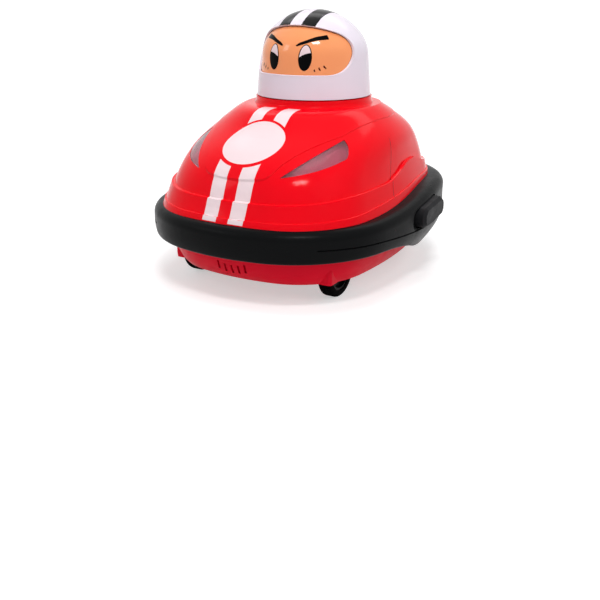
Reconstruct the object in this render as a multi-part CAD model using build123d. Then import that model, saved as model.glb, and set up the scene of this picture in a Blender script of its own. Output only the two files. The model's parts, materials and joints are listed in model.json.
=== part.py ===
from build123d import *
import math
import os

# Toy bumper car with a lift-off driver. Millimetres, +Z up, ground at z = 0.
# The car's front faces -Y, its left side is +X, and x = 0 is the plane of symmetry.
# Lengths along the car are taken from a working origin; the finished pieces are moved so that
# the frame's origin lies under the middle of the bumper.

# ---------------------------------------------------------------- driving sizes
# Body shell
shell_half_width = 54.8      # half width of the body at its ledge
shell_front = 64.0           # from the working origin forward to the body at its ledge
shell_rear = 78.4            # from the working origin back to the body at its ledge
shell_widest = 8.6           # how far behind the working origin the ledge is widest
ledge_height = 50.0          # height of the ledge at the front
shell_height = 36.0          # ledge to the top section of the body
shell_wall = 2.0
split_height = 34.0          # joint between upper and lower shell
flange_step = 1.6            # how far the flange below the ledge stands out
foot_step = 0.7              # how far the flange's foot stands out beyond the flange
hood_step = 0.7              # how far the hood panel stands out, measured level

# Hood panel, seen from above
hood_ring_radius = 42.5      # its rear part, about the driver's axis

# Collar and the driver's cup
driver_axis = 17.7           # the driver's axis lies this far behind the working origin
collar_top = 89.6
collar_band = 1.0            # upright band under the driver's helmet
collar_fillet = 3.6
collar_foot = 12.0           # how far the collar reaches down into the body
cup_radius = 21.0            # inside
cup_depth = 17.0
cup_wall = 1.6
cup_rim_width = 3.0
cup_rim_thickness = 1.2
cup_gap = 0.1

# Headlamps, placed by shares of the body's sizes
lamp_side_share = 0.602
lamp_front_share = 0.656
lamp_height_share = 0.472
lamp_facing = (0.62, -0.62, 0.48)
lamp_length = 35.0
lamp_height = 18.2
lens_thickness = 1.4
lens_recess = 0.3
lens_gap = 0.08
tray_depth = 4.2
tray_wall = 1.0
tray_rim = 1.2               # how far the tray reaches past the lens all round
lamp_reach = 14.0            # how far the lamp's prism reaches either way

# Bumper, by how far it stands out from the body at its ledge
bumper_side = 14.2
bumper_front = 12.0
bumper_rear = 10.8
nose_top = 40.3              # top edge from the front to its rise
tail_top = 47.2              # top edge behind its rise
nose_bottom = 24.9           # bottom edge from the front to its fall
tail_bottom = 13.6           # bottom edge behind its fall
top_rise = (-38.0, 60.0)     # where the top edge's rise begins and ends
bottom_fall = (-30.0, 38.0)  # where the bottom edge's fall begins and ends
bumper_top_radius = 5.0
bumper_bottom_radius = 1.5
groove_depth = 0.8
groove_width = 0.7

# Impact buttons in the bumper's sides
button_length = 27.0
button_height = 10.6
button_proud = 3.7           # how far the button stands out of the bumper's widest place
button_y = 15.2
button_z = 35.4
button_tilt = 6.0            # degrees that its rear end is raised
button_corner = 0.45         # corner radius as a share of its height
button_gap = 0.6
button_seat = 0.7            # from the button's inner end to the upper shell
button_chamfer = 1.5
recess_depth = 2.4           # shallow trough round the button
recess_radius = 10.0

# Lower shell
floor_height = 10.5
floor_side_inset = 1.6       # from the body's ledge inward to the floor's edge
floor_front_inset = 4.2
floor_rear_inset = 6.4
rim_gap = 0.3                # between the lower shell's rim and the upper shell
vent_count = 5
vent_pitch = 3.8
vent_width = 1.2
vent_height = 4.6
vent_base = 13.6             # bottom of the middle slot
vent_arc_rise = 0.32         # each slot's rise per square of its number from the middle

# Drive wheels
wheel_radius = 13.5
wheel_width = 7.0
wheel_track = 80.8
wheel_y = -32.5
tyre_thickness = 3.4
tyre_shoulder = 1.6
hub_inset = 0.5              # from the tyre's side to the hub's face
hub_dish = 1.6
hub_rim = 1.2
hub_boss_radius = 3.2
hub_boss_inset = 0.8
hub_hole_radius = 1.5
hub_hole_count = 5
well_clearance = 1.4
well_side_gap = 0.8
well_wall = 1.2
fairing_top = 23.0           # top of the wheel fairing outside the lower shell
fairing_rounding = 2.0
axle_radius = 1.5
axle_fit = 0.05
axle_length = 13.0           # from the hub's inner face

# Drive unit, battery, door and switch
drive_width = 56.0
drive_length = 26.0
drive_height = 17.0
drive_chamfer = 2.0
battery_width = 48.0
battery_length = 30.0
battery_height = 14.5
battery_y = 13.0
door_width = 52.0
door_length = 34.0
door_thickness = 1.6
door_gap = 0.2
door_proud = 0.3
door_corner = 1.0
switch_width = 9.0
switch_length = 5.0
switch_thickness = 1.6
switch_y = -12.0
switch_knob = 3.6
switch_proud = 0.7
switch_offset = 1.8

# Caster
caster_y = 50.0
caster_wheel_radius = 7.0
caster_wheel_width = 6.0
caster_wheel_rounding = 1.4
caster_trail = 4.0
caster_axle_radius = 1.2
caster_pin_radius = 2.2
caster_pin_length = 12.0
caster_pin_end_gap = 0.5
caster_plate_radius = 7.0
caster_plate_thickness = 2.0
caster_cheek = 1.6
caster_cheek_width = 6.0
caster_side_gap = 0.5
caster_top_gap = 1.6
caster_seat_gap = 0.3
caster_fit = 0.05
caster_well_gap = 2.0

# Driver
helmet_seat = 0.5            # from the collar to the helmet
helmet_height = 41.9
helmet_radius = 30.0
helmet_taper = 1.7           # how much narrower it is at its shoulder
helmet_shoulder_share = 0.477     # height of the shoulder as a share of the helmet's
helmet_arc_share = 0.4535    # shoulder arc's radius as a share of the helmet's height
helmet_wall = 1.1
collar_lip = 0.6             # how far the collar stands out beyond the helmet
face_gap = 0.15
face_wall = 1.6
plug_radius = 20.7
plug_depth = 15.5
plug_plate = 2.0
plug_plate_gap = 6.0         # from the helmet's inside to the plug's plate
plug_seat = 0.3

mm_over = 1.0                # how far a cutting shape runs past the piece it cuts

# Sections of the body shell from the split to the collar. Columns: share of the height from
# split to top section, shares of half width, front and rear, share of the way from the ledge's
# widest place to the driver's axis, end bow, corner radius share.
SHELL_SECTIONS = (
    (0.000, 1.090, 1.088, 1.001, 0.00, 3.05, 0.70),
    (0.308, 1.000, 1.000, 1.000, 0.00, 3.10, 0.695),
    (0.462, 0.967, 0.945, 0.997, 0.10, 2.70, 0.73),
    (0.596, 0.947, 0.858, 0.980, 0.21, 2.08, 0.79),
    (0.731, 0.912, 0.688, 0.939, 0.43, 1.55, 0.87),
    (0.865, 0.805, 0.500, 0.829, 0.76, 1.20, 0.93),
    (1.000, 0.626, 0.253, 0.670, 1.00, 1.15, 0.94),
)

# Sections of the bumper's outside. Columns: height, how far it is drawn in there.
BUMPER_SECTIONS = (
    (8.0, 14.0),
    (14.0, 7.5),
    (18.0, 4.5),
    (23.0, 1.6),
    (30.0, 0.0),
    (42.0, 0.0),
    (54.0, 1.6),
)
bumper_bow = 1.85
bumper_corner = 0.815

# Sections of the lower shell. Columns: share of the height from floor to split,
# share of the way from the floor outline to the outline at the split.
TUB_SECTIONS = ((0.0, 0.0), (0.10, 0.25), (0.5, 0.7), (1.0, 1.0))
tub_bow = 2.85
tub_corner = 0.71

# Side-view lines. Columns: distance behind the working origin, height.
LEDGE_LINE = ((-90.0, 49.8), (-66.0, 50.0), (-36.0, 52.3), (-3.0, 52.8), (8.0, 55.5),
              (19.0, 59.0), (30.0, 59.5), (44.0, 55.6), (60.0, 53.2), (90.0, 52.6))
FOOT_LINE = ((-90.0, 42.7), (-66.0, 42.9), (-36.0, 43.8), (0.0, 45.9), (33.0, 49.0),
             (90.0, 49.8))
GROOVE_LINE = ((-62.0, 31.6), (-33.0, 30.7), (-2.0, 28.4), (20.0, 26.9), (100.0, 25.6))

# Plan view of the hood panel's edge, from its nose to where it runs into its ring. Columns:
# share of the body's half width, share of the body's length ahead.
HOOD_LINE = ((0.0, 0.941), (0.2555, 0.916), (0.313, 0.894), (0.353, 0.853), (0.666, 0.328),
             (0.741, 0.047))

# Side view of the visor opening's edge. Columns: share of the helmet's radius ahead of its
# axis, share of the helmet's height.
VISOR_LINE = ((0.707, 0.272), (0.437, 0.344), (0.260, 0.506), (0.267, 0.649), (0.423, 0.754),
              (0.633, 0.826))

helmet_base = collar_top + helmet_seat
helmet_top = helmet_base + helmet_height
collar_radius = helmet_radius + collar_lip
shell_base = split_height
shell_top = ledge_height + shell_height
bumper_half_width = shell_half_width + bumper_side
bumper_nose = shell_front + bumper_front
bumper_tail = shell_rear + bumper_rear
frame_shift = (bumper_tail - bumper_nose) / 2
reach = 2 * (bumper_nose + bumper_tail)   # longer and wider than the whole car


# ---------------------------------------------------------------- shared shapes
def oval(z, half_width, front, rear, widest, bow, corner, inset=0.0):
    """Level closed outline of tangent arcs, the same either side of x = 0.

    The front and rear halves share their widest place, where their side arcs meet tangent.
    """
    a = half_width

    def half(b, way):
        """Points of one half from its end's middle to its side, for x above 0."""
        end_radius = bow * a * a / b
        side_radius = bow * b * b / a
        corner_radius = corner * min(a, b)
        end = Vector(0, b - end_radius)
        side = Vector(a - side_radius, 0)
        p = end_radius - corner_radius
        q = side_radius - corner_radius
        gap = (side - end).length
        along = (p * p - q * q + gap * gap) / (2 * gap)
        across = math.sqrt(max(p * p - along * along, 0.0))
        unit = (side - end) * (1 / gap)
        normal = Vector(unit.Y, -unit.X)
        centres = [end + unit * along + normal * (s * across) for s in (1, -1)]
        centre = max(centres, key=lambda v: v.X + v.Y)
        end_angle = math.atan2(centre.Y - end.Y, centre.X - end.X)
        side_angle = math.atan2(centre.Y - side.Y, centre.X - side.X)

        def at(origin, radius, angle):
            x = origin.X + (radius - inset) * math.cos(angle)
            y = origin.Y + (radius - inset) * math.sin(angle)
            return (x, widest + way * y)

        return (
            (0.0, widest + way * (b - inset)),
            at(end, end_radius, end_angle),
            at(centre, corner_radius, (end_angle + side_angle) / 2),
            at(side, side_radius, side_angle),
            at(side, side_radius, side_angle / 2),
            (a - inset, widest),
        )

    def left(point):
        return (point[0], point[1], z)

    def right(point):
        return (-point[0], point[1], z)

    f = half(front + widest, -1)
    r = half(rear - widest, 1)
    arcs = (
        (right(f[1]), left(f[0]), left(f[1])),
        (left(f[1]), left(f[2]), left(f[3])),
        (left(f[3]), left(f[4]), left(f[5])),
        (left(r[5]), left(r[4]), left(r[3])),
        (left(r[3]), left(r[2]), left(r[1])),
        (left(r[1]), left(r[0]), right(r[1])),
        (right(r[1]), right(r[2]), right(r[3])),
        (right(r[3]), right(r[4]), right(r[5])),
        (right(f[5]), right(f[4]), right(f[3])),
        (right(f[3]), right(f[2]), right(f[1])),
    )
    return Face(Wire([Edge.make_three_point_arc(*points) for points in arcs]))


def side_slab(outline):
    """The side-view outline (an edge list) carried across the whole car."""
    return extrude(Face(Wire(outline)), reach, dir=(1, 0, 0), both=True)


def lines(points):
    """Straight side-view edges through (y, z) points."""
    ends = [(0, y, z) for y, z in points]
    return [Edge.make_line(start, stop) for start, stop in zip(ends, ends[1:])]


def band(low_points, high_points):
    """Solid between two side-view lines that run from front to rear, across the car."""
    loop = list(low_points) + list(reversed(high_points)) + [low_points[0]]
    return side_slab(lines(loop))


def easing(start, stop, z_start, z_stop):
    """Two equal arcs that carry a side-view line from one level to another, both tangent."""
    run = (stop - start) / 2
    rise = (z_stop - z_start) / 2
    middle = (start + run, z_start + rise)
    bend = rise / 4
    return [
        Edge.make_three_point_arc(
            (0, start, z_start), (0, start + run / 2, z_start + bend), (0, *middle)),
        Edge.make_three_point_arc(
            (0, *middle), (0, stop - run / 2, z_stop - bend), (0, stop, z_stop)),
    ]


def upright_cylinder(x, y, low, high, radius):
    return Pos(x, y, (low + high) / 2) * Cylinder(radius, high - low)


def cross_cylinder(x_low, x_high, y, z, radius):
    return Pos((x_low + x_high) / 2, y, z) * Rot(0, 90, 0) * Cylinder(radius, x_high - x_low)


def mirrored(shape):
    return mirror(shape, Plane.YZ)


# ---------------------------------------------------------------- body volumes
def shell_section(row, inset):
    height, width, front, rear, middle, bow, corner = row
    return oval(
        shell_base + height * (shell_top - shell_base),
        width * shell_half_width, front * shell_front, rear * shell_rear,
        shell_widest + middle * (driver_axis - shell_widest), bow, corner, inset,
    )


def shell_body(inset=0.0):
    """The body's outside, or the same form drawn in by a wall."""
    return loft([shell_section(row, inset) for row in SHELL_SECTIONS])


def flange_band(line):
    """Region of the body below a side-view line."""
    base = ((line[0][0], shell_base), (line[-1][0], shell_base))
    return band(base, line)


def hood_panel():
    """Upright prism of the hood panel, which runs on round the collar."""
    nose, brow, bend, cheek, neck, flank = [
        (across * shell_half_width, -ahead * shell_front) for across, ahead in HOOD_LINE
    ]
    side = (hood_ring_radius, driver_axis)
    rear = (0, driver_axis + hood_ring_radius)

    def at(point, flip):
        return (flip * point[0], point[1], shell_base)

    def flank_edges(flip):
        return [
            Edge.make_three_point_arc(at(brow, flip), at(bend, flip), at(cheek, flip)),
            Edge.make_line(at(cheek, flip), at(neck, flip)),
            Edge.make_three_point_arc(at(neck, flip), at(flank, flip), at(side, flip)),
        ]

    outline = Wire([
        Edge.make_three_point_arc(at(brow, -1), at(nose, 1), at(brow, 1)),
        *flank_edges(1),
        Edge.make_three_point_arc(at(side, 1), at(rear, 1), at(side, -1)),
        *flank_edges(-1),
    ])
    return extrude(Face(outline), 2 * shell_height, dir=(0, 0, 1))


def collar_volume():
    """Flared collar under the driver, turned about the driver's axis."""
    r = collar_radius
    z = collar_top - collar_band
    y = driver_axis
    flare = 0.95 * collar_fillet
    profile = Face(Wire([
        Edge.make_line((0, y, collar_top), (0, y + r, collar_top)),
        Edge.make_line((0, y + r, collar_top), (0, y + r, z)),
        Edge.make_three_point_arc(
            (0, y + r, z),
            (0, y + r + 0.22 * collar_fillet, z - 0.66 * collar_fillet),
            (0, y + r + flare, z - collar_fillet),
        ),
        Edge.make_line((0, y + r + flare, z - collar_fillet), (0, y + r, collar_top - collar_foot)),
        Edge.make_line((0, y + r, collar_top - collar_foot), (0, y, collar_top - collar_foot)),
        Edge.make_line((0, y, collar_top - collar_foot), (0, y, collar_top)),
    ]))
    return revolve(profile, Axis((0, y, 0), (0, 0, 1)), 360)


def body_outside():
    panel = hood_panel()
    hood = shell_body(-hood_step) & panel
    flange = shell_body(-flange_step) & flange_band(LEDGE_LINE)
    foot = shell_body(-flange_step - foot_step) & flange_band(FOOT_LINE)
    return (shell_body() - panel) + hood + flange + foot + collar_volume()


def body_inside(inset):
    """The body's form drawn in by a wall, and its top drawn down as much."""
    cap = Pos(0, 0, shell_top - shell_wall - inset - reach / 2) * Box(reach, reach, reach)
    return shell_body(inset) & cap


def tub_volume(inset=0.0):
    """The lower shell's outside, or the same form drawn in by a wall."""
    split = SHELL_SECTIONS[0]
    floor_sizes = (
        shell_half_width - floor_side_inset,
        shell_front - floor_front_inset,
        shell_rear - floor_rear_inset,
    )
    rim_inset = shell_wall + rim_gap
    rim_sizes = (
        split[1] * shell_half_width - rim_inset,
        split[2] * shell_front - rim_inset,
        split[3] * shell_rear - rim_inset,
    )
    sections = []
    for height, share in TUB_SECTIONS:
        z = floor_height + height * (split_height - floor_height)
        a, front, rear = (low + share * (high - low) for low, high in zip(floor_sizes, rim_sizes))
        sections.append(oval(z, a, front, rear, shell_widest, tub_bow, tub_corner, inset))
    return loft(sections)


def bumper_body(inset=0.0):
    """The bumper's outside before its edges are cut, or the same form drawn in."""
    return loft([
        oval(z, bumper_half_width, bumper_nose, bumper_tail, shell_widest,
             bumper_bow, bumper_corner, drawn + inset)
        for z, drawn in BUMPER_SECTIONS
    ])


def lamp_plane():
    facing = Vector(*lamp_facing).normalized()
    across = Vector(0, 0, 1).cross(facing).normalized()
    centre = Vector(
        lamp_side_share * shell_half_width,
        -lamp_front_share * shell_front,
        ledge_height + lamp_height_share * shell_height,
    )
    return Plane(origin=centre, x_dir=across, z_dir=facing)


def lamp_prism(grow):
    """Prism of the headlamp's leaf outline, square to the lamp's facing direction."""
    half = lamp_length / 2
    tall = lamp_height / 2
    tip = (-0.97 * half, -0.68 * tall)
    top = (1.03 * half, 1.32 * tall)
    tail = (1.04 * half, 0.54 * tall)
    heel = (0.80 * half, 0.0)
    leaf = Wire([
        Edge.make_line(tip, top),
        Edge.make_three_point_arc(top, (1.08 * half, 0.93 * tall), tail),
        Edge.make_three_point_arc(tail, (0.97 * half, 0.22 * tall), heel),
        Edge.make_three_point_arc(heel, (0.0, -0.53 * tall), tip),
    ])
    outline = Face(leaf)
    if grow:
        outline = offset(outline, grow, kind=Kind.ARC)
    raised = extrude(outline, 2 * lamp_reach, dir=(0, 0, 1))
    return lamp_plane() * (Pos(0, 0, -lamp_reach) * raised)


# ---------------------------------------------------------------- body pieces
def make_cup():
    """Cup that the driver's plug drops into, hung by its rim in the collar."""
    top = collar_top
    outer = cup_radius + cup_wall
    cup = upright_cylinder(0, driver_axis, top - cup_depth - cup_wall, top, outer)
    rim = upright_cylinder(0, driver_axis, top - cup_rim_thickness, top, outer + cup_rim_width)
    hollow = upright_cylinder(0, driver_axis, top - cup_depth, top + cup_wall, cup_radius)
    return cup + rim - hollow


def make_upper_shell(outside):
    shell = outside - body_inside(shell_wall)
    outer = cup_radius + cup_wall + cup_gap
    rim = outer + cup_rim_width
    low = collar_top - 2 * collar_foot
    high = collar_top + mm_over
    shell -= upright_cylinder(0, driver_axis, low, high, outer)
    shell -= upright_cylinder(
        0, driver_axis, collar_top - cup_rim_thickness - cup_gap, high, rim)
    window = lamp_prism(0.0)
    shell -= window
    shell -= mirrored(window)
    return shell


def make_lens():
    leaf = lamp_prism(-lens_gap)
    return (shell_body(lens_recess) & leaf) - shell_body(lens_recess + lens_thickness)


def make_lamp_tray():
    leaf = lamp_prism(tray_rim)
    hollow = lamp_prism(-lens_gap)
    seat = shell_wall + cup_gap
    block = (body_inside(seat) & leaf) - shell_body(seat + tray_depth + tray_wall)
    cavity = (shell_body(seat - mm_over) & hollow) - shell_body(seat + tray_depth)
    return block - cavity


def bumper_slab():
    """Side-view region between the bumper's bottom and top edges."""
    front = -reach
    rear = reach
    top = [Edge.make_line((0, front, nose_top), (0, top_rise[0], nose_top))]
    top += easing(*top_rise, nose_top, tail_top)
    top.append(Edge.make_line((0, top_rise[1], tail_top), (0, rear, tail_top)))
    bottom = [Edge.make_line((0, front, nose_bottom), (0, bottom_fall[0], nose_bottom))]
    bottom += easing(*bottom_fall, nose_bottom, tail_bottom)
    bottom.append(Edge.make_line((0, bottom_fall[1], tail_bottom), (0, rear, tail_bottom)))
    ends = [
        Edge.make_line((0, front, nose_bottom), (0, front, nose_top)),
        Edge.make_line((0, rear, tail_bottom), (0, rear, tail_top)),
    ]
    return side_slab(top + bottom + ends)


def rounded_rim(ring, z_middle):
    """The ring with its outer top and bottom edges rounded."""
    rims = [e for e in ring.edges() if e.geom_type != GeomType.LINE]
    top = [e for e in rims if e.bounding_box().min.Z > z_middle]
    ring = fillet(top, bumper_top_radius)
    rims = [e for e in ring.edges() if e.geom_type != GeomType.LINE]
    bottom = [e for e in rims if e.bounding_box().max.Z < nose_bottom + mm_over]
    return fillet(bottom, bumper_bottom_radius)


def make_bumper(outside, tub):
    ring = bumper_body() & bumper_slab()
    ring = rounded_rim(ring, (nose_bottom + nose_top) / 2)
    ring -= outside
    ring -= tub
    groove = band(GROOVE_LINE, [(y, z + groove_width) for y, z in GROOVE_LINE])
    ring -= groove - bumper_body(groove_depth)
    pocket = button_block(
        button_gap, button_root() - button_seat, bumper_half_width + mm_over)
    for cut in (button_trough(), pocket):
        ring -= cut
        ring -= mirrored(cut)
    return ring


def button_root():
    """The button's inner end, just off the foot of the upper shell."""
    return SHELL_SECTIONS[0][1] * shell_half_width + flange_step + foot_step + button_seat


def button_block(grow, root, tip):
    block = Box(tip - root, button_length + 2 * grow, button_height + 2 * grow)
    block = fillet(block.edges().filter_by(Axis.X), button_corner * button_height)
    return Pos((root + tip) / 2, button_y, button_z) * Rot(button_tilt, 0, 0) * block


def button_trough():
    """Lying bar with ball ends that is dipped into the bumper's side round the button."""
    bar = Rot(90, 0, 0) * Cylinder(recess_radius, button_length)
    for end in (-button_length / 2, button_length / 2):
        bar += Pos(0, end, 0) * Sphere(recess_radius)
    x = bumper_half_width + recess_radius - recess_depth
    return Pos(x, button_y, button_z) * Rot(button_tilt, 0, 0) * bar


def make_button():
    block = button_block(0.0, button_root(), bumper_half_width + button_proud)
    outer_face = block.faces().sort_by(Axis.X)[-1]
    return chamfer(outer_face.edges(), button_chamfer)


def make_lower_shell(tub):
    inner = tub_volume(shell_wall)
    inner &= Pos(0, 0, floor_height + shell_wall + reach / 2) * Box(reach, reach, reach)
    shell = tub - inner
    x_in, x_out = wheel_well_span()
    depth = fairing_top - floor_height
    low_slab = Pos(0, 0, floor_height + depth / 2) * Box(reach, reach, depth)
    for side in (1, -1):
        housing = cross_cylinder(x_in - well_wall, x_out + well_wall, wheel_y, wheel_radius,
                                 well_radius() + well_wall)
        housing = fillet(housing.edges().filter_by(GeomType.CIRCLE), fairing_rounding)
        housing = (housing & tub) + (housing & low_slab)
        if side == -1:
            housing = mirrored(housing)
        shell = shell + housing
    shell += caster_housing()
    for side in (1, -1):
        well = cross_cylinder(x_in, x_out, wheel_y, wheel_radius, well_radius())
        bore = cross_cylinder(x_in - axle_length - mm_over, x_in + mm_over, wheel_y, wheel_radius,
                              axle_radius + axle_fit)
        if side == -1:
            well, bore = mirrored(well), mirrored(bore)
        shell = shell - well - bore
    shell -= caster_hollow()
    shell -= Pos(0, battery_y, floor_height) * Box(
        door_width + 2 * door_gap, door_length + 2 * door_gap, 2 * door_thickness)
    shell -= Pos(0, switch_y, floor_height) * Box(
        switch_width + 2 * door_gap, switch_length + 2 * door_gap, 4 * shell_wall)
    middle = (vent_count - 1) / 2
    for index in range(vent_count):
        number = index - middle
        base = vent_base + vent_arc_rise * number * number
        shell -= Pos(number * vent_pitch, -shell_front, base + vent_height / 2) * Box(
            vent_width, 4 * vent_height, vent_height)
    return shell


def well_radius():
    return wheel_radius + well_clearance


def wheel_well_span():
    middle = wheel_track / 2
    half = wheel_width / 2 + well_side_gap
    return (middle - half, middle + half)


# ---------------------------------------------------------------- caster
def caster_levels():
    """Heights of the caster: plate bottom, plate top, ceiling of its recess."""
    plate_low = 2 * caster_wheel_radius + caster_top_gap
    plate_high = plate_low + caster_plate_thickness
    return plate_low, plate_high, plate_high + caster_seat_gap


def caster_sweep():
    return caster_trail + caster_wheel_radius + caster_well_gap


def caster_housing():
    ceiling = caster_levels()[2]
    drum = upright_cylinder(0, caster_y, floor_height, ceiling + shell_wall,
                            caster_sweep() + shell_wall)
    boss = upright_cylinder(0, caster_y, ceiling, ceiling + caster_pin_length,
                            caster_pin_radius + shell_wall)
    return drum + boss


def caster_hollow():
    ceiling = caster_levels()[2]
    recess = upright_cylinder(0, caster_y, floor_height - mm_over, ceiling, caster_sweep())
    bore = upright_cylinder(0, caster_y, ceiling - mm_over,
                            ceiling + caster_pin_length - shell_wall,
                            caster_pin_radius + caster_fit)
    return recess + bore


def make_caster_fork():
    plate_low, plate_high, ceiling = caster_levels()
    plate = upright_cylinder(0, caster_y, plate_low, plate_high, caster_plate_radius)
    pin_top = ceiling + caster_pin_length - shell_wall - caster_pin_end_gap
    pin = upright_cylinder(0, caster_y, plate_low, pin_top, caster_pin_radius)
    axle_y = caster_y + caster_trail
    fork = plate + pin
    inner = caster_wheel_width / 2 + caster_side_gap
    for side in (1, -1):
        x = side * (inner + caster_cheek / 2)
        cheek = Pos(x, axle_y, caster_wheel_radius) * Rot(0, 90, 0) * Cylinder(
            caster_cheek_width / 2, caster_cheek)
        arm = Pos(x, axle_y - caster_trail / 2, (plate_low + caster_wheel_radius) / 2) * Box(
            caster_cheek, caster_cheek_width, plate_low - caster_wheel_radius + caster_side_gap)
        fork = fork + cheek + arm
    wide = 2 * caster_wheel_width
    fork -= cross_cylinder(-wide, wide, axle_y, caster_wheel_radius, caster_axle_radius)
    return fork


def make_caster_axle():
    half = caster_wheel_width / 2 + caster_side_gap + caster_cheek
    return cross_cylinder(-half, half, caster_y + caster_trail, caster_wheel_radius,
                          caster_axle_radius)


def make_caster_wheel():
    wheel = cross_cylinder(-caster_wheel_width / 2, caster_wheel_width / 2,
                           caster_y + caster_trail, caster_wheel_radius, caster_wheel_radius)
    rims = wheel.edges().filter_by(GeomType.CIRCLE)
    wheel = fillet(rims, caster_wheel_rounding)
    return wheel - cross_cylinder(-caster_wheel_width, caster_wheel_width,
                                  caster_y + caster_trail, caster_wheel_radius,
                                  caster_axle_radius + caster_fit)


# ---------------------------------------------------------------- drive
def make_tyre():
    x = wheel_track / 2
    tyre = cross_cylinder(x - wheel_width / 2, x + wheel_width / 2, wheel_y, wheel_radius,
                          wheel_radius)
    tyre = fillet(tyre.edges().filter_by(GeomType.CIRCLE), tyre_shoulder)
    return tyre - cross_cylinder(x - wheel_width, x + wheel_width, wheel_y, wheel_radius,
                                 wheel_radius - tyre_thickness)


def make_hub():
    x = wheel_track / 2
    rim_radius = wheel_radius - tyre_thickness
    inner = x - wheel_width / 2 + hub_inset
    outer = x + wheel_width / 2 - hub_inset
    dish_radius = rim_radius - hub_rim
    hub = cross_cylinder(inner, outer, wheel_y, wheel_radius, rim_radius)
    hub -= cross_cylinder(outer - hub_dish, outer + mm_over, wheel_y, wheel_radius, dish_radius)
    hub += cross_cylinder(inner, outer - hub_boss_inset, wheel_y, wheel_radius, hub_boss_radius)
    for index in range(hub_hole_count):
        angle = math.radians(90 + 360 / hub_hole_count * index)
        away = (hub_boss_radius + dish_radius) / 2
        hub -= cross_cylinder(inner - mm_over, outer, wheel_y + away * math.cos(angle),
                              wheel_radius + away * math.sin(angle), hub_hole_radius)
    hub += cross_cylinder(inner - axle_length, inner + mm_over, wheel_y, wheel_radius, axle_radius)
    return hub


def make_drive_unit():
    base = floor_height + shell_wall + cup_gap
    block = Pos(0, wheel_y, base + drive_height / 2) * Box(drive_width, drive_length, drive_height)
    block = chamfer(block.edges().filter_by(Axis.Z), drive_chamfer)
    return block - cross_cylinder(
        -drive_width, drive_width, wheel_y, wheel_radius, axle_radius + axle_fit)


def make_battery():
    base = floor_height + shell_wall + cup_gap
    return Pos(0, battery_y, base + battery_height / 2) * Box(
        battery_width, battery_length, battery_height)


def make_door():
    plate = Pos(0, battery_y, floor_height + door_thickness / 2 - door_proud) * Box(
        door_width, door_length, door_thickness)
    return fillet(plate.edges().filter_by(Axis.Z), door_corner)


def make_switch():
    body = Pos(0, switch_y, floor_height + door_proud + switch_thickness / 2) * Box(
        switch_width, switch_length, switch_thickness)
    depth = switch_proud + door_proud + switch_thickness / 2
    knob = Pos(-switch_offset, switch_y, floor_height - switch_proud + depth / 2) * Box(
        switch_knob, switch_knob, depth)
    return body + knob


# ---------------------------------------------------------------- driver
def helmet_volume(inset):
    """Helmet turned about the driver's axis: tapering side, shoulder arc and crown arc."""
    shoulder_height = helmet_shoulder_share * helmet_height
    shoulder_arc = helmet_arc_share * helmet_height
    taper = math.atan2(helmet_taper, shoulder_height)
    out = Vector(math.cos(taper), math.sin(taper))
    shoulder = Vector(helmet_radius - helmet_taper, helmet_base + shoulder_height)
    shoulder_centre = shoulder - out * shoulder_arc
    rise = helmet_top - shoulder_centre.Y
    crown_arc = (shoulder_centre.X ** 2 + rise ** 2 - shoulder_arc ** 2) / (
        2 * (rise - shoulder_arc))
    crown_centre = Vector(0, helmet_top - crown_arc)
    toward = (shoulder_centre - crown_centre).normalized()
    middle_way = (out + toward).normalized()
    crown_way = (toward + Vector(0, 1)).normalized()

    def at(centre, way, radius):
        point = centre + way * (radius - inset)
        return (0, driver_axis + point.X, point.Y)

    side_foot = (0, driver_axis + helmet_radius - inset / out.X, helmet_base)
    side_top = at(shoulder_centre, out, shoulder_arc)
    blend = at(shoulder_centre, toward, shoulder_arc)
    crown = (0, driver_axis, helmet_top - inset)
    axis_foot = (0, driver_axis, helmet_base)
    outline = Wire([
        Edge.make_line(axis_foot, side_foot),
        Edge.make_line(side_foot, side_top),
        Edge.make_three_point_arc(
            side_top, at(shoulder_centre, middle_way, shoulder_arc), blend),
        Edge.make_three_point_arc(blend, at(crown_centre, crown_way, crown_arc), crown),
        Edge.make_line(crown, axis_foot),
    ])
    return revolve(Face(outline), Axis((0, driver_axis, 0), (0, 0, 1)), 360)


def visor_cutter():
    """Opening across the helmet's front, its rounded rear end drawn in side view."""
    chin, cheek, back, temple, brow, top = [
        (0, driver_axis - ahead * helmet_radius, helmet_base + up * helmet_height)
        for ahead, up in VISOR_LINE
    ]
    front = driver_axis - 2 * helmet_radius
    slope = (top[2] - brow[2]) / (top[1] - brow[1])
    low = (0, front, chin[2])
    high = (0, front, brow[2] + slope * (front - brow[1]))
    return side_slab([
        Edge.make_line(low, chin),
        Edge.make_three_point_arc(chin, cheek, back),
        Edge.make_three_point_arc(back, temple, brow),
        Edge.make_line(brow, high),
        Edge.make_line(high, low),
    ])


def make_helmet():
    return helmet_volume(0.0) - helmet_volume(helmet_wall) - visor_cutter()


def make_driver_face():
    gap = helmet_wall + face_gap
    return helmet_volume(gap) - helmet_volume(gap + face_wall)


def make_plug():
    base = helmet_base - plug_seat
    plate = upright_cylinder(0, driver_axis, base, base + plug_plate,
                             helmet_radius - helmet_wall - plug_plate_gap)
    plug = upright_cylinder(0, driver_axis, collar_top - plug_depth, helmet_base, plug_radius)
    return plate + plug


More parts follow.
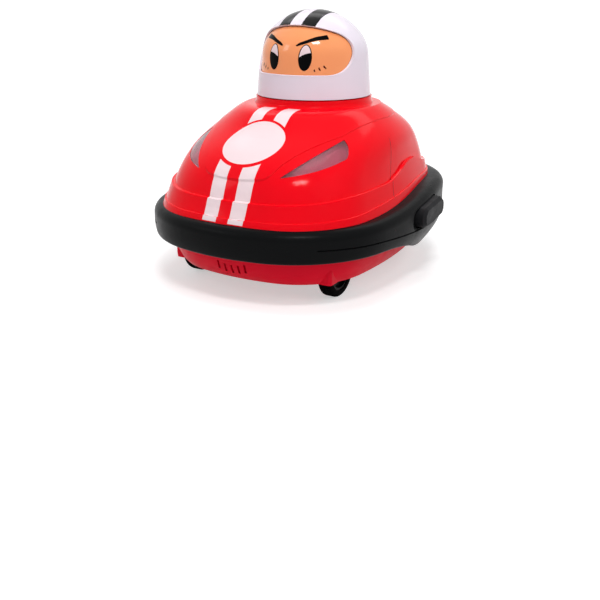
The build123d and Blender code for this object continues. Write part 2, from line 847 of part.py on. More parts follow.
# ---------------------------------------------------------------- output
def build():
    outside = body_outside()
    tub = tub_volume()
    lens = make_lens()
    tray = make_lamp_tray()
    button = make_button()
    hub = make_hub()
    tyre = make_tyre()
    return {
        "upper_shell": make_upper_shell(outside),
        "lower_shell": make_lower_shell(tub),
        "bumper": make_bumper(outside, tub),
        "impact_button_left": button,
        "impact_button_right": mirrored(button),
        "headlamp_lens_left": lens,
        "headlamp_lens_right": mirrored(lens),
        "headlamp_tray_left": tray,
        "headlamp_tray_right": mirrored(tray),
        "driver_cup": make_cup(),
        "drive_unit": make_drive_unit(),
        "battery_pack": make_battery(),
        "battery_door": make_door(),
        "power_switch": make_switch(),
        "wheel_hub_left": hub,
        "wheel_hub_right": mirrored(hub),
        "wheel_tyre_left": tyre,
        "wheel_tyre_right": mirrored(tyre),
        "caster_fork": make_caster_fork(),
        "caster_axle": make_caster_axle(),
        "caster_wheel": make_caster_wheel(),
        "driver_helmet": make_helmet(),
        "driver_face": make_driver_face(),
        "driver_plug": make_plug(),
    }


os.makedirs("parts", exist_ok=True)
for name, shape in build().items():
    export_step(Pos(0, -frame_shift, 0) * shape, f"parts/{name}.step")
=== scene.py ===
"""Looks of the toy bumper car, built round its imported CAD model. Metres, +Z up, front faces -Y."""
import json
import math

import bpy
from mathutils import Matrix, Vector
from mathutils.bvhtree import BVHTree


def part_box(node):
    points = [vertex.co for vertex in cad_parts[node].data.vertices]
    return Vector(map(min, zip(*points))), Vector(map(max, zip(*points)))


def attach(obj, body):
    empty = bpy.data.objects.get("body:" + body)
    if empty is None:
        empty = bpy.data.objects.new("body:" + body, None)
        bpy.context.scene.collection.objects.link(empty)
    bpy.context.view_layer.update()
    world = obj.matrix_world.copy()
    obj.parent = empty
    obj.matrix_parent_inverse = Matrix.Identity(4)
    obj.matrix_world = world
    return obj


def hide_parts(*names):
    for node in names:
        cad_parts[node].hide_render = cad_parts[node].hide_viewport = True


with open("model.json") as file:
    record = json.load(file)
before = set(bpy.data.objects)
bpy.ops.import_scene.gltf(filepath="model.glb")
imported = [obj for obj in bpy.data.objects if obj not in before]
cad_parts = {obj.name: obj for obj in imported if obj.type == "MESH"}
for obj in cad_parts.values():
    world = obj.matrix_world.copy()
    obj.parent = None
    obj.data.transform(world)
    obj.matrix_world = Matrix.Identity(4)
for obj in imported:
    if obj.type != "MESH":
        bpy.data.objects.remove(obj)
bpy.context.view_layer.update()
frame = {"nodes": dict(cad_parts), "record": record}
nodes = frame["nodes"]
MM = 0.001

# Places on the car, in millimetres of the frame
DRIVER_Y = 11.1
HOOD_CORE = (-6.6, 34.0)      # (y, z) that hood artwork is cast towards
STRIPE_IN = 3.3
STRIPE_OUT = 11.3
STRIPE_REAR_OUT = 10.6
STRIPE_FOOT = (-78.5, 40.9)   # (y, z) below which no stripe is laid
STRIPE_NECK = (-21.2, 86.2)
ROUNDEL = (-48.8, 73.3)       # (y, z) of its middle
ROUNDEL_HALVES = (15.5, 14.2)
ROUNDEL_TILT = 37.3           # degrees above level from which it is cast on the hood
ROUNDEL_GAPS = (1.9, 1.3)     # red left ahead of the roundel and behind it
DECAL_LIFT = 0.06
FACE_CORE = (0.0, DRIVER_Y, 108.0)
EYE = (19.2, 110.0)           # (degrees from straight ahead, height) of an eye's middle
EYE_LEAN = 0.8                # degrees that an eye leans outward at its top
EYE_RIM = (7.3, 6.15)         # half width in degrees, half height
EYE_WHITE = (6.2, 5.6)
PUPIL = (6.9, 5.95)
LID = ((-5.9, 0.3), (-3.0, 1.1), (0, 1.7), (3.2, 2.1), (6.2, 2.3))   # from the eye's middle
RIM_LIFT, BROW_LIFT, WHITE_LIFT, PUPIL_LIFT = 0.04, 0.05, 0.09, 0.14
BROW = ((7.8, 115.7), (9.3, 115.2), (19.2, 116.5), (28.0, 117.6), (35.0, 118.1), (46.5, 118.4),
        (45.2, 120.4), (31.0, 119.6), (21.4, 118.3), (12.5, 117.0))
CHEEK_STROKES = (((28.6, 104.5), (29.7, 103.5)), ((33.4, 105.4), (35.4, 104.0)),
                 ((38.4, 106.2), (41.4, 104.9)))
SEAM = ((-0.9, 73.0), (-1.6, 69.9), (-3.8, 62.3), (-5.4, 57.6), (-7.9, 52.6), (-9.8, 48.2),
        (-10.9, 44.6))        # (y, z) of the seam in the body's side
TYRE_DEPTH = 3.4              # from tread to hub
RIB_DEPTH = 0.4
SCREWS = ((34.0, 40.0), (-34.0, 40.0), (40.0, 8.0), (-40.0, 8.0), (13.0, -60.0), (-13.0, -60.0))
RIM_AXIS = Vector((0, HOOD_CORE[0], 0))   # foot of the upright line that the rims go round
RAY_START = 150               # from the body's middle line, well outside the car
FACE_RAY_START = 60
HELMET_RAY_START = 80

# Light and floor, in metres
CAMERA_LENS = 46.71           # mm on a 36 mm sensor
CAMERA_PLACE = (0.204283, -0.361200, 0.141238)
CAMERA_FORWARD = (-0.46086, 0.80634, -0.37070)
MIDDLE = (0, 0, 0.06)         # what the lamps aim at
AMBIENT = 0.25
FLOOR_HALF = 12.0
FLOOR_GLOW = ((0.25, 0.50), (1.2, 0.90))   # (distance, brightness) near the car and far away


# ---------------------------------------------------------------- camera, light, floor
def linear(r, g, b):
    """A colour written as 0..255 display values, as the shader wants it."""
    def channel(v):
        v /= 255
        return v / 12.92 if v <= 0.04045 else ((v + 0.055) / 1.055) ** 2.4
    return (channel(r), channel(g), channel(b), 1.0)


def make_camera():
    data = bpy.data.cameras.new("camera")
    data.lens = CAMERA_LENS
    data.sensor_width = 36.0
    camera = bpy.data.objects.new("camera", data)
    bpy.context.scene.collection.objects.link(camera)
    camera.location = CAMERA_PLACE
    forward = Vector(CAMERA_FORWARD)
    camera.rotation_euler = forward.to_track_quat("-Z", "Y").to_euler()
    bpy.context.scene.camera = camera


def make_lamp(name, place, aim, size, power, mirrored=True, lights=True):
    data = bpy.data.lights.new(name, "AREA")
    data.shape = "RECTANGLE"
    data.size, data.size_y = size
    data.energy = power
    lamp = bpy.data.objects.new(name, data)
    bpy.context.scene.collection.objects.link(lamp)
    lamp.location = place
    lamp.rotation_euler = (Vector(aim) - Vector(place)).to_track_quat("-Z", "Y").to_euler()
    lamp.visible_glossy = mirrored
    lamp.visible_diffuse = lights


def background_rays(tree):
    """1 for rays that show the background itself, as seen, mirrored or through glass."""
    path = tree.nodes.new("ShaderNodeLightPath")
    seen = tree.nodes.new("ShaderNodeMath")
    seen.operation = "MAXIMUM"
    tree.links.new(path.outputs["Is Camera Ray"], seen.inputs[0])
    tree.links.new(path.outputs["Is Glossy Ray"], seen.inputs[1])
    both = tree.nodes.new("ShaderNodeMath")
    both.operation = "MAXIMUM"
    tree.links.new(seen.outputs[0], both.inputs[0])
    tree.links.new(path.outputs["Is Transmission Ray"], both.inputs[1])
    return both.outputs[0]


def make_world(ambient):
    world = bpy.data.worlds.new("studio")
    bpy.context.scene.world = world
    world.use_nodes = True
    tree = world.node_tree
    back = tree.nodes["Background"]
    back.inputs["Color"].default_value = (1, 1, 1, 1)
    level = tree.nodes.new("ShaderNodeMapRange")
    level.inputs["To Min"].default_value = ambient
    level.inputs["To Max"].default_value = 1.0
    tree.links.new(background_rays(tree), level.inputs["Value"])
    tree.links.new(level.outputs["Result"], back.inputs["Strength"])


def make_floor():
    mesh = bpy.data.meshes.new("floor")
    half = FLOOR_HALF
    mesh.from_pydata(
        [(-half, -half, 0), (half, -half, 0), (half, half, 0), (-half, half, 0)], [], [(0, 1, 2, 3)])
    floor = bpy.data.objects.new("floor", mesh)
    bpy.context.scene.collection.objects.link(floor)
    mat = bpy.data.materials.new("floor_white")
    mat.use_nodes = True
    tree = mat.node_tree
    shader = tree.nodes["Principled BSDF"]
    shader.inputs["Base Color"].default_value = (0.72, 0.72, 0.725, 1)
    shader.inputs["Roughness"].default_value = 0.85
    shader.inputs["Specular IOR Level"].default_value = 0.1
    shader.inputs["Emission Color"].default_value = (1, 1, 1, 1)
    place = tree.nodes.new("ShaderNodeNewGeometry")
    away = tree.nodes.new("ShaderNodeVectorMath")
    away.operation = "LENGTH"
    tree.links.new(place.outputs["Position"], away.inputs[0])
    level = tree.nodes.new("ShaderNodeMapRange")
    (near, near_glow), (far, far_glow) = FLOOR_GLOW
    level.inputs["From Min"].default_value = near
    level.inputs["From Max"].default_value = far
    level.inputs["To Min"].default_value = near_glow
    level.inputs["To Max"].default_value = far_glow
    tree.links.new(away.outputs["Value"], level.inputs["Value"])
    shown = tree.nodes.new("ShaderNodeMath")
    shown.operation = "MULTIPLY"
    tree.links.new(background_rays(tree), shown.inputs[0])
    tree.links.new(level.outputs["Result"], shown.inputs[1])
    tree.links.new(shown.outputs[0], shader.inputs["Emission Strength"])
    mesh.materials.append(mat)


# ---------------------------------------------------------------- materials
def plastic(name, colour, roughness, grain=0.0, grain_size=0.3, shift=0.04, ior=1.46,
            metallic=0.0, transmission=0.0, wave=0.0, specular=0.5):
    """Moulded plastic: its colour and gloss vary a little, and its skin has grain and waves.

    Sizes in mm: grain is the height of the fine texture, wave that of the slow waviness.
    """
    mat = bpy.data.materials.new(name)
    mat.use_nodes = True
    tree = mat.node_tree
    shader = tree.nodes["Principled BSDF"]
    shader.inputs["IOR"].default_value = ior
    shader.inputs["Metallic"].default_value = metallic
    shader.inputs["Transmission Weight"].default_value = transmission
    shader.inputs["Specular IOR Level"].default_value = specular
    coordinates = tree.nodes.new("ShaderNodeTexCoord")

    def noise(size, detail):
        node = tree.nodes.new("ShaderNodeTexNoise")
        node.inputs["Scale"].default_value = 1 / (size * MM)
        node.inputs["Detail"].default_value = detail
        tree.links.new(coordinates.outputs["Object"], node.inputs["Vector"])
        return node.outputs["Fac"]

    def remap(source, low, high):
        node = tree.nodes.new("ShaderNodeMapRange")
        node.inputs["From Min"].default_value = 0.3
        node.inputs["From Max"].default_value = 0.7
        node.inputs["To Min"].default_value = low
        node.inputs["To Max"].default_value = high
        tree.links.new(source, node.inputs["Value"])
        return node.outputs["Result"]

    base = linear(*colour)
    mix = tree.nodes.new("ShaderNodeMix")
    mix.data_type = "RGBA"
    mix.inputs["A"].default_value = [c * (1 - shift) for c in base[:3]] + [1]
    mix.inputs["B"].default_value = [min(c * (1 + shift), 1) for c in base[:3]] + [1]
    tree.links.new(noise(14, 3), mix.inputs["Factor"])
    tree.links.new(mix.outputs["Result"], shader.inputs["Base Color"])
    smear = noise(5, 4)
    tree.links.new(remap(smear, 0.85 * roughness, 1.2 * roughness), shader.inputs["Roughness"])
    normal = None
    for height, size in ((wave, 9.0), (grain, grain_size)):
        if height:
            bump = tree.nodes.new("ShaderNodeBump")
            bump.inputs["Distance"].default_value = height * MM
            tree.links.new(noise(size, 1), bump.inputs["Height"])
            if normal:
                tree.links.new(normal, bump.inputs["Normal"])
            normal = bump.outputs["Normal"]
    if normal:
        tree.links.new(normal, shader.inputs["Normal"])
    return mat


MATERIALS = {
    "red_gloss": plastic("red_gloss", (236, 1, 21), 0.11, wave=0.04, specular=0.085),
    "red_satin": plastic("red_satin", (238, 12, 44), 0.36, grain=0.02, specular=0.08),
    "black_bumper": plastic("black_bumper", (9, 10, 11), 0.32, grain=0.02, shift=0.1,
                            specular=0.06),
    "black_button": plastic("black_button", (29, 29, 31), 0.46, grain=0.03, shift=0.1,
                            specular=0.08),
    "smoke_lens": plastic("smoke_lens", (212, 142, 158), 0.16, transmission=1.0, ior=1.45,
                          specular=0.06),
    "lamp_silver": plastic("lamp_silver", (236, 216, 226), 0.5, grain=0.5, grain_size=2.4,
                           specular=0.05),
    "cup_black": plastic("cup_black", (40, 40, 42), 0.45, grain=0.02),
    "drive_grey": plastic("drive_grey", (150, 150, 152), 0.5, grain=0.02),
    "battery_blue": plastic("battery_blue", (60, 95, 170), 0.4, grain=0.02),
    "hub_black": plastic("hub_black", (10, 10, 11), 0.25, shift=0.1, specular=0.07),
    "tyre_black": plastic("tyre_black", (4, 4, 4), 0.7, grain=0.05, shift=0.15,
                          specular=0.02),
    "steel": plastic("steel", (200, 200, 205), 0.3, metallic=1.0),
    "caster_plastic": plastic("caster_plastic", (24, 24, 25), 0.4, grain=0.03, shift=0.1,
                              specular=0.2),
    "helmet_white": plastic("helmet_white", (232, 223, 235), 0.16, shift=0.01, wave=0.02,
                            specular=0.3),
    "face_orange": plastic("face_orange", (248, 154, 96), 0.12, shift=0.02, wave=0.02,
                           specular=0.5),
}
red_rim = plastic("red_rim", (238, 1, 20), 0.2, specular=0.32)
print_white = plastic("print_white", (238, 216, 220), 0.14, shift=0.015, wave=0.03,
                      specular=0.2)
print_black = plastic("print_black", (4, 4, 5), 0.2, shift=0.1, specular=0.04)
helmet_black = plastic("helmet_black", (20, 20, 20), 0.16, shift=0.1, specular=0.12)
print_brown = plastic("print_brown", (70, 14, 8), 0.2, shift=0.1, specular=0.1)
# painted shade: brown for the shadow in the gap between the face and the helmet's edge
gap_shade_brown = plastic("gap_shade_brown", (120, 72, 58), 0.3, shift=0.1, specular=0.2)
seam_red = plastic("seam_red", (150, 0, 10), 0.3, shift=0.1, specular=0.1)


def dress_nodes():
    for row in frame["record"]["subparts"]:
        mesh = nodes[row["node"]].data
        mesh.materials.clear()
        mesh.materials.append(MATERIALS[row["material_slot"]])


# ---------------------------------------------------------------- artwork laid on the solids
def skin(node):
    """Ray tree of a CAD node's mesh."""
    mesh = nodes[node].data
    return BVHTree.FromPolygons([v.co for v in mesh.vertices], [p.vertices for p in mesh.polygons])


def piece(name, verts, faces, material, body):
    mesh = bpy.data.meshes.new(name)
    mesh.from_pydata(verts, [], faces)
    mesh.polygons.foreach_set("use_smooth", [True] * len(faces))
    mesh.update()
    obj = bpy.data.objects.new(name, mesh)
    bpy.context.scene.collection.objects.link(obj)
    mesh.materials.append(material)
    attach(obj, body)
    return obj


def landed(tree, origin, direction, lift=DECAL_LIFT):
    """Where a ray in mm lands on the skin, lifted off it; metres."""
    start = Vector(origin) * MM
    way = Vector(direction).normalized()
    place, normal, _, _ = tree.ray_cast(start, way)
    if place is None:
        return None
    if normal.dot(way) > 0:
        normal = -normal
    return place + normal * (lift * MM)


def grid_faces(rows, columns, closed=False):
    faces = []
    for r in range(rows - 1):
        for c in range(columns if closed else columns - 1):
            d = (c + 1) % columns
            faces.append((r * columns + c, r * columns + d, (r + 1) * columns + d,
                          (r + 1) * columns + c))
    return faces


def hood_point(tree, x, angle):
    """Point of the hood in the upright plane x, at an angle above the forward direction."""
    y, z = HOOD_CORE
    out = (math.cos(angle) * -1, math.sin(angle))
    return landed(tree, (x, y + RAY_START * out[0], z + RAY_START * out[1]),
                  (0, -out[0], -out[1]))


def angle_of(y, z):
    return math.atan2(z - HOOD_CORE[1], HOOD_CORE[0] - y)


def hood_stripe(tree, name, x_low, x_high, start, stop):
    """start and stop give the stripe's end angles at an x."""
    columns, rows = 17, 160
    verts = []
    for r in range(rows):
        for c in range(columns):
            x = x_low + (x_high - x_low) * c / (columns - 1)
            low, high = start(x), stop(x)
            verts.append(hood_point(tree, x, low + (high - low) * r / (rows - 1)))
    return piece(name, verts, grid_faces(rows, columns), print_white, "chassis")


def tube(name, path, radius, sides, material, body, core, taper=25):
    """A bead along an open path of points in metres, thinning to nothing at both ends."""
    verts, count = [], len(path)
    for k, spot in enumerate(path):
        along = (path[min(k + 1, count - 1)] - path[max(k - 1, 0)]).normalized()
        out = (spot - core * MM).normalized()
        wide = along.cross(out).normalized()
        out = wide.cross(along)
        here = radius * MM * min(1, 0.02 + k / taper, 0.02 + (count - 1 - k) / taper)
        for s in range(sides):
            t = 2 * math.pi * s / sides
            verts.append(spot + here * (wide * math.cos(t) + out * math.sin(t)))
    faces = grid_faces(count, sides, closed=True)
    faces += [tuple(range(sides)), tuple(reversed(range((count - 1) * sides, count * sides)))]
    return piece(name, verts, faces, material, body)


def step_edge(reach, low, high, drop):
    """Radius and height of the first place where the skin jumps inward by more than drop."""
    z, step, fine = low, 0.2, 0.01
    while z < high:
        if reach(z) - reach(z + step) > drop:
            top = z + step
            while top - z > fine:
                half = (z + top) / 2
                if reach(z) - reach(half) > drop:
                    top = half
                else:
                    z = half
            return reach(z), z
        z += step
    return None


def step_paths(low, high, drop):
    """Runs of (turn, radius, height) along a step that goes round the body."""
    tree = skin("upper_shell")
    stripe_margin, widest_break = 0.2, 0.8
    paths, path = [], []
    for k in range(-360, 361):
        turn = math.radians(k / 2)
        out = Vector((math.sin(turn), -math.cos(turn), 0))

        def reach(z):
            start = RIM_AXIS + out * RAY_START + Vector((0, 0, z))
            return (tree.ray_cast(start * MM, -out)[0] / MM - RIM_AXIS).dot(out)

        edge = step_edge(reach, low, high, drop)
        if edge and out.y < 0 and (STRIPE_IN - stripe_margin < abs(out.x) * edge[0]
                                   < STRIPE_OUT + stripe_margin):
            edge = None       # the bead would run over a white stripe
        if edge and (not path or abs(edge[1] - path[-1][2]) < widest_break):
            path.append((turn, *edge))
        else:
            paths.append(path)
            path = [(turn, *edge)] if edge else []
    paths.append(path)
    return paths


def rim_beads(name, low, high, drop, radius, inset):
    """Rounded rim on a step that runs round the body, in mm."""
    shortest, sides = 8, 12
    number = 0
    for path in step_paths(low, high, drop):
        if len(path) < shortest:
            continue
        number += 1
        spots = []
        for k, (turn, _, _) in enumerate(path):
            near = path[max(0, k - 2):k + 3]
            radial = sum(p[1] for p in near) / len(near) - inset
            z = sum(p[2] for p in near) / len(near) - inset
            spots.append(Vector((math.sin(turn) * radial, RIM_AXIS.y - math.cos(turn) * radial,
                                 z)) * MM)
        tube(f"{name}_{number}", spots, radius, sides, red_rim, "chassis",
             Vector((0, HOOD_CORE[0], 20.0)), taper=3)


def fan_faces(rings, count):
    """Faces of a disc: its middle vertex, then rings of vertices from the inside out."""
    faces = [(0, 1 + s, 1 + (s + 1) % count) for s in range(count)]
    for r in range(rings - 1):
        a = 1 + r * count
        for s in range(count):
            t = (s + 1) % count
            faces.append((a + s, a + count + s, a + count + t, a + t))
    return faces


def hood_artwork():
    tree = skin("upper_shell")
    middle = Vector((0, *ROUNDEL))
    tilt = math.radians(ROUNDEL_TILT)
    facing = Vector((0, -math.cos(tilt), math.sin(tilt)))
    across = Vector((1, 0, 0))
    up = across.cross(-facing)
    up = up if up.z > 0 else -up

    def on_hood(flat):
        return landed(tree, flat + facing * 60, -facing)

    rings, spokes = 24, 120
    verts = [on_hood(middle)]
    for r in range(1, rings + 1):
        for s in range(spokes):
            turn = 2 * math.pi * s / spokes
            verts.append(on_hood(middle + r / rings * (
                across * ROUNDEL_HALVES[0] * math.cos(turn)
                + up * ROUNDEL_HALVES[1] * math.sin(turn))))
    piece("hood_roundel", verts, fan_faces(rings, spokes), print_white, "chassis")

    def roundel_edge(x, way):
        """Angle at which the upright plane x meets the ring just outside the roundel."""
        gap = ROUNDEL_GAPS[0 if way < 0 else 1]
        share = math.sqrt(1 - (x / (ROUNDEL_HALVES[0] + gap)) ** 2)
        flat = middle + across * x + up * (way * (ROUNDEL_HALVES[1] + gap) * share)
        spot = on_hood(flat) / MM
        return angle_of(spot.y, spot.z)

    for side, name in ((1, "left"), (-1, "right")):
        low, high = sorted((side * STRIPE_IN, side * STRIPE_OUT))
        hood_stripe(tree, f"stripe_front_{name}", low, high,
                    lambda x: angle_of(*STRIPE_FOOT), lambda x: roundel_edge(x, -1))
        low, high = sorted((side * STRIPE_IN, side * STRIPE_REAR_OUT))
        hood_stripe(tree, f"stripe_rear_{name}", low, high,
                    lambda x: roundel_edge(x, 1), lambda x: angle_of(*STRIPE_NECK))


def helmet_stripes():
    """Two bands from the visor's top edge over the crown to the helmet's rear foot."""
    tree = skin("driver_helmet")
    crown, inner, outer = 101.0, 3.3, 10.3
    highest_start, lowest_start, nudge = math.radians(58), math.radians(48), 0.003
    foot = math.radians(193)

    def spot(x, angle, lift=DECAL_LIFT):
        out = Vector((0, -math.cos(angle), math.sin(angle)))
        return landed(tree, Vector((x, DRIVER_Y, crown)) + out * HELMET_RAY_START, -out, lift)

    columns, rows = 13, 110
    for side, name in ((1, "left"), (-1, "right")):
        low, high = sorted((side * inner, side * outer))
        starts = []
        for c in range(columns):
            x = low + (high - low) * c / (columns - 1)
            angle = highest_start
            while angle > lowest_start:
                place = spot(x, angle - nudge)
                if place is None or place.y > DRIVER_Y * MM:
                    break
                angle -= nudge
            starts.append((x, angle))
        verts = []
        for r in range(rows):
            for x, start in starts:
                verts.append(spot(x, start + (foot - start) * r / (rows - 1)))
        piece(f"helmet_stripe_{name}", verts, grid_faces(rows, columns), helmet_black,
              "driver")


def on_face(tree, degrees, z, lift):
    turn = math.radians(degrees)
    out = Vector((math.sin(turn), -math.cos(turn), 0))
    return landed(tree, Vector((0, DRIVER_Y, z)) + out * FACE_RAY_START, -out, lift)


def face_print(tree, name, outline, material, lift):
    """Print on the face: an outline of (degrees, height), filled from its middle."""
    rings, count = 12, len(outline)
    middle = (sum(a for a, _ in outline) / count, sum(z for _, z in outline) / count)
    flat = [middle]
    for r in range(1, rings + 1):
        k = r / rings
        flat += [(middle[0] + (a - middle[0]) * k, middle[1] + (z - middle[1]) * k)
                 for a, z in outline]
    verts = [on_face(tree, a, z, lift) for a, z in flat]
    return piece(name, verts, fan_faces(rings, count), material, "driver")


def rounded(points, step=6):
    """A closed outline with each run divided, and its corners cut twice."""
    for _ in range(2):
        cut = []
        for (a, z), (b, w) in zip(points, points[1:] + points[:1]):
            k = min(0.25, 0.25 / math.hypot(b - a, w - z))
            cut += [(a + (b - a) * k, z + (w - z) * k), (b + (a - b) * k, w + (z - w) * k)]
        points = cut
    dense = []
    for (a, z), (b, w) in zip(points, points[1:] + points[:1]):
        dense += [(a + (b - a) * k / step, z + (w - z) * k / step) for k in range(step)]
    return dense


def egg(a, z, half_a, half_z, lean, low=0, high=360, count=56):
    """Upright egg that leans outward at its top, as (degrees, height) points."""
    points = []
    for k in range(count + (0 if high - low == 360 else 1)):
        t = math.radians(low + (high - low) * k / count)
        points.append((a + half_a * math.cos(t) + lean * math.sin(t), z + half_z * math.sin(t)))
    return points


def face_artwork():
    tree = skin("driver_face")
    for side, name in ((1, "left"), (-1, "right")):

        def mirror(points):
            return [(side * a, z) for a, z in points]

        a, z = EYE
        face_print(tree, f"eye_rim_{name}", mirror(egg(a, z, *EYE_RIM, EYE_LEAN)), print_black,
                   RIM_LIFT)
        face_print(tree, f"eye_white_{name}", mirror(egg(a, z + 0.1, *EYE_WHITE, EYE_LEAN)),
                   print_white, WHITE_LIFT)
        lid = [(a + aside, z + up) for aside, up in LID]
        pupil = egg(a, z, *PUPIL, EYE_LEAN, 180, 360) + [
            (p[0] + (q[0] - p[0]) * k / 5, p[1] + (q[1] - p[1]) * k / 5)
            for p, q in zip(reversed(lid), list(reversed(lid))[1:]) for k in range(5)]
        face_print(tree, f"pupil_{name}", mirror(pupil), print_black, PUPIL_LIFT)
        face_print(tree, f"brow_{name}", mirror(rounded(list(BROW))), print_black,
                   BROW_LIFT)
        for k, ((a0, z0), (a1, z1)) in enumerate(CHEEK_STROKES):
            run = math.hypot(a1 - a0, z1 - z0)
            wide, tall = 0.95 * (z1 - z0) / run, -0.5 * (a1 - a0) / run
            stroke = [(a0 + wide, z0 + tall), (a1 + 0.6 * wide, z1 + 0.6 * tall),
                      (a1 - 0.6 * wide, z1 - 0.6 * tall), (a0 - wide, z0 - tall)]
            face_print(tree, f"cheek_stroke_{name}_{k + 1}", mirror(rounded(stroke, 3)),
                       print_brown, BROW_LIFT)


def visor_gap_shade():
    """Painted shade: a thin brown strip on the face along the opening's top and ends, standing in
    for the shadow in the gap under the helmet's edge; and a bead round its rim.
    """
    helmet, face = skin("driver_helmet"), skin("driver_face")
    core = Vector(FACE_CORE)

    def way(alpha, rho):
        turn = math.radians(rho * math.cos(alpha))
        rise = math.radians(12 + 0.55 * rho * math.sin(alpha))
        return Vector((math.sin(turn) * math.cos(rise), -math.cos(turn) * math.cos(rise),
                       math.sin(rise)))

    def open_at(alpha, rho):
        out = way(alpha, rho)
        start = (core + out * FACE_RAY_START) * MM
        near = helmet.ray_cast(start, -out)[3]
        far = face.ray_cast(start, -out)[3]
        return near is None or near > far

    def edge(alpha):
        low, high = 5.0, 100.0
        for _ in range(22):
            half = (low + high) / 2
            if open_at(alpha, half):
                low = half
            else:
                high = half
        return low

    count, sides, bead = 220, 10, 0.45
    bead_start, bead_sweep, gap_shade_start, gap_shade_sweep = 140, 260, -28, 236
    rim = []
    for k in range(count):
        alpha = math.radians(bead_start + bead_sweep * k / (count - 1))
        out = way(alpha, edge(alpha) + 0.15)
        rim.append(landed(helmet, core + out * FACE_RAY_START, -out, -0.8 * bead))
    tube("visor_bead", rim, bead, sides, MATERIALS["helmet_white"], "driver", core)

    # painted shade: a brown strip on the face where the helmet's edge shades the gap, narrowing to
    # its ends
    verts, count = [], 150
    for k in range(count):
        alpha = math.radians(gap_shade_start + gap_shade_sweep * k / (count - 1))
        low = edge(alpha)
        width = 0.75 * math.sin(math.pi * k / (count - 1)) ** 0.4 + 0.02
        for share in (0.0, 0.5, 1.0):
            out = way(alpha, low + 0.5 - share * width * 1.9)
            lift = 0.04 + 0.05 * math.sin(math.pi * share)
            verts.append(landed(face, core + out * FACE_RAY_START, -out, lift))
    piece("visor_gap_shade", verts, grid_faces(count, 3), gap_shade_brown, "driver")


def side_seams():
    """Fine seam down each side of the body, as a narrow strip laid on it."""
    tree = skin("upper_shell")
    parts, half_width, lift, ray_start = 14, 0.22, 0.03, 100
    path = []
    for (y0, z0), (y1, z1) in zip(SEAM, SEAM[1:]):
        path += [(y0 + (y1 - y0) * k / parts, z0 + (z1 - z0) * k / parts) for k in range(parts)]
    path.append(SEAM[-1])
    for side, name in ((1, "left"), (-1, "right")):
        verts = []
        for k, (y, z) in enumerate(path):
            half = half_width * min(1, k / 10, (len(path) - 1 - k) / 6) + 0.02
            for across in (-half, 0, half):
                verts.append(landed(tree, (side * ray_start, y + across, z), (-side, 0, 0), lift))
        piece(f"side_seam_{name}", verts, grid_faces(len(path), 3), seam_red, "chassis")


def screws():
    """Cross-head screws in the floor; each recess is sunk into its head."""
    tree = skin("lower_shell")
    head, dome, dome_power, proud = 2.5, 2.55, 2.6, 0.75
    cross_depth, cross_reach, cross_half = 0.9, 1.7, 0.32
    for number, (x, y) in enumerate(SCREWS):
        place = landed(tree, (x, y, -20), (0, 0, 1), 0.0)
        base = place.z / MM
        verts = []
        rings, count = 14, 48
        for r in range(rings + 1):
            radius = head * r / rings
            for k in range(count):
                t = 2 * math.pi * k / count
                a, b = radius * math.cos(t), radius * math.sin(t)
                drop = proud * math.sqrt(max(0.0, 1 - (radius / dome) ** dome_power))
                slot_depth = cross_depth * max(0.0, 1 - max(abs(a), abs(b)) / cross_reach)
                if min(abs(a), abs(b)) > cross_half:
                    slot_depth = 0.0
                verts.append(((x + a) * MM, (y + b) * MM, (base - drop + slot_depth) * MM))
        faces = grid_faces(rings + 1, count, closed=True)
        piece(f"floor_screw_{number + 1}", verts, faces, MATERIALS["steel"], "chassis")


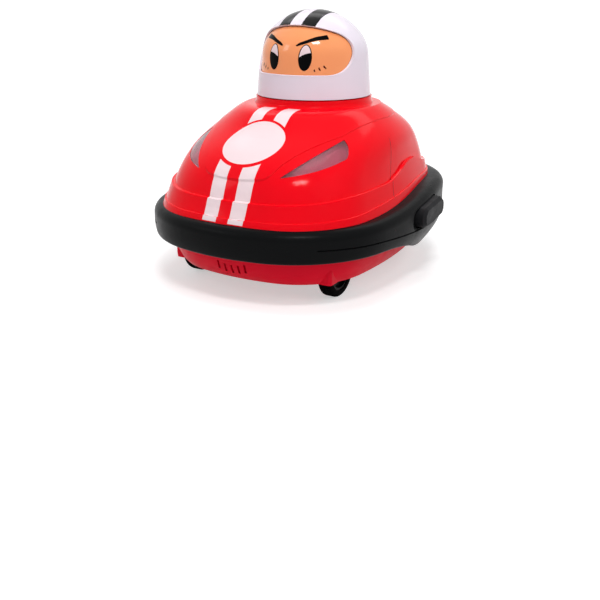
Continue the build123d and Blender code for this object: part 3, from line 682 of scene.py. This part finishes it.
def tyres():
    """Tyres with a ribbed tread, in place of the plain solids."""
    for side, name in ((1, "left"), (-1, "right")):
        low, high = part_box(f"wheel_tyre_{name}")
        half = (high.x - low.x) / 2 / MM
        radius = (high.z - low.z) / 2 / MM
        middle = [(low[i] + high[i]) / 2 / MM for i in range(3)]
        inner = radius - TYRE_DEPTH
        profile = [(inner, -half), (radius - 1.6, -half), (radius - 0.75, -half + 0.25),
                   (radius - 0.2, -half + 0.8), (radius, -half + 1.6), (radius, -0.55),
                   (radius - 0.45, -0.35), (radius - 0.45, 0.35), (radius, 0.55),
                   (radius, half - 1.6), (radius - 0.2, half - 0.8),
                   (radius - 0.75, half - 0.25), (radius - 1.6, half), (inner, half),
                   (inner, -half)]
        ribs, per_rib = 44, 6
        count = ribs * per_rib
        verts = []
        for r, height in profile:
            for k in range(count):
                t = 2 * math.pi * k / count
                cut = RIB_DEPTH if (k % per_rib) in (0, 1) and r > radius - 0.3 else 0.0
                a, b = (r - cut) * math.cos(t), (r - cut) * math.sin(t)
                verts.append(((middle[0] + height) * MM, (middle[1] + a) * MM,
                              (middle[2] + b) * MM))
        faces = grid_faces(len(profile), count, closed=True)
        obj = piece(f"ribbed_tyre_{name}", verts, faces, MATERIALS["tyre_black"],
                    f"wheel_{name}")
        obj.data.polygons.foreach_set("use_smooth", [False] * len(faces))
        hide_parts(f"wheel_tyre_{name}")


def lamp_place(azimuth, elevation, away):
    """A place, from MIDDLE: degrees from straight ahead towards +X, degrees up, metres away."""
    a, e = math.radians(azimuth), math.radians(elevation)
    return (away * math.cos(e) * math.sin(a), -away * math.cos(e) * math.cos(a),
            MIDDLE[2] + away * math.sin(e))


make_camera()
make_world(AMBIENT)
make_floor()
make_lamp("key", lamp_place(35, 55, 0.9), MIDDLE, (0.22, 0.085), 2.6)
make_lamp("side", lamp_place(-42, 31, 0.9), MIDDLE, (0.16, 0.24), 0.45)
make_lamp("right", lamp_place(80, 38, 1.2), MIDDLE, (0.8, 0.6), 3.9, mirrored=False)
make_lamp("left", lamp_place(-70, 50, 1.2), MIDDLE, (0.8, 0.6), 2.2, mirrored=False)
make_lamp("top", (0.0, 0.05, 1.2), (0, 0, 0.05), (0.6, 0.6), 4.9, mirrored=False)
make_lamp("back", lamp_place(200, 52, 1.2), MIDDLE, (1.3, 0.3), 2.4, lights=False)
dress_nodes()
hood_artwork()
helmet_stripes()
face_artwork()
visor_gap_shade()
side_seams()
rim_beads("ledge_rim", 48.0, 57.0, 0.5, 0.75, 0.62)
rim_beads("foot_rim", 41.5, 52.0, 0.4, 0.45, 0.36)
screws()
tyres()

view = bpy.context.scene.view_settings
view.view_transform = "Standard"
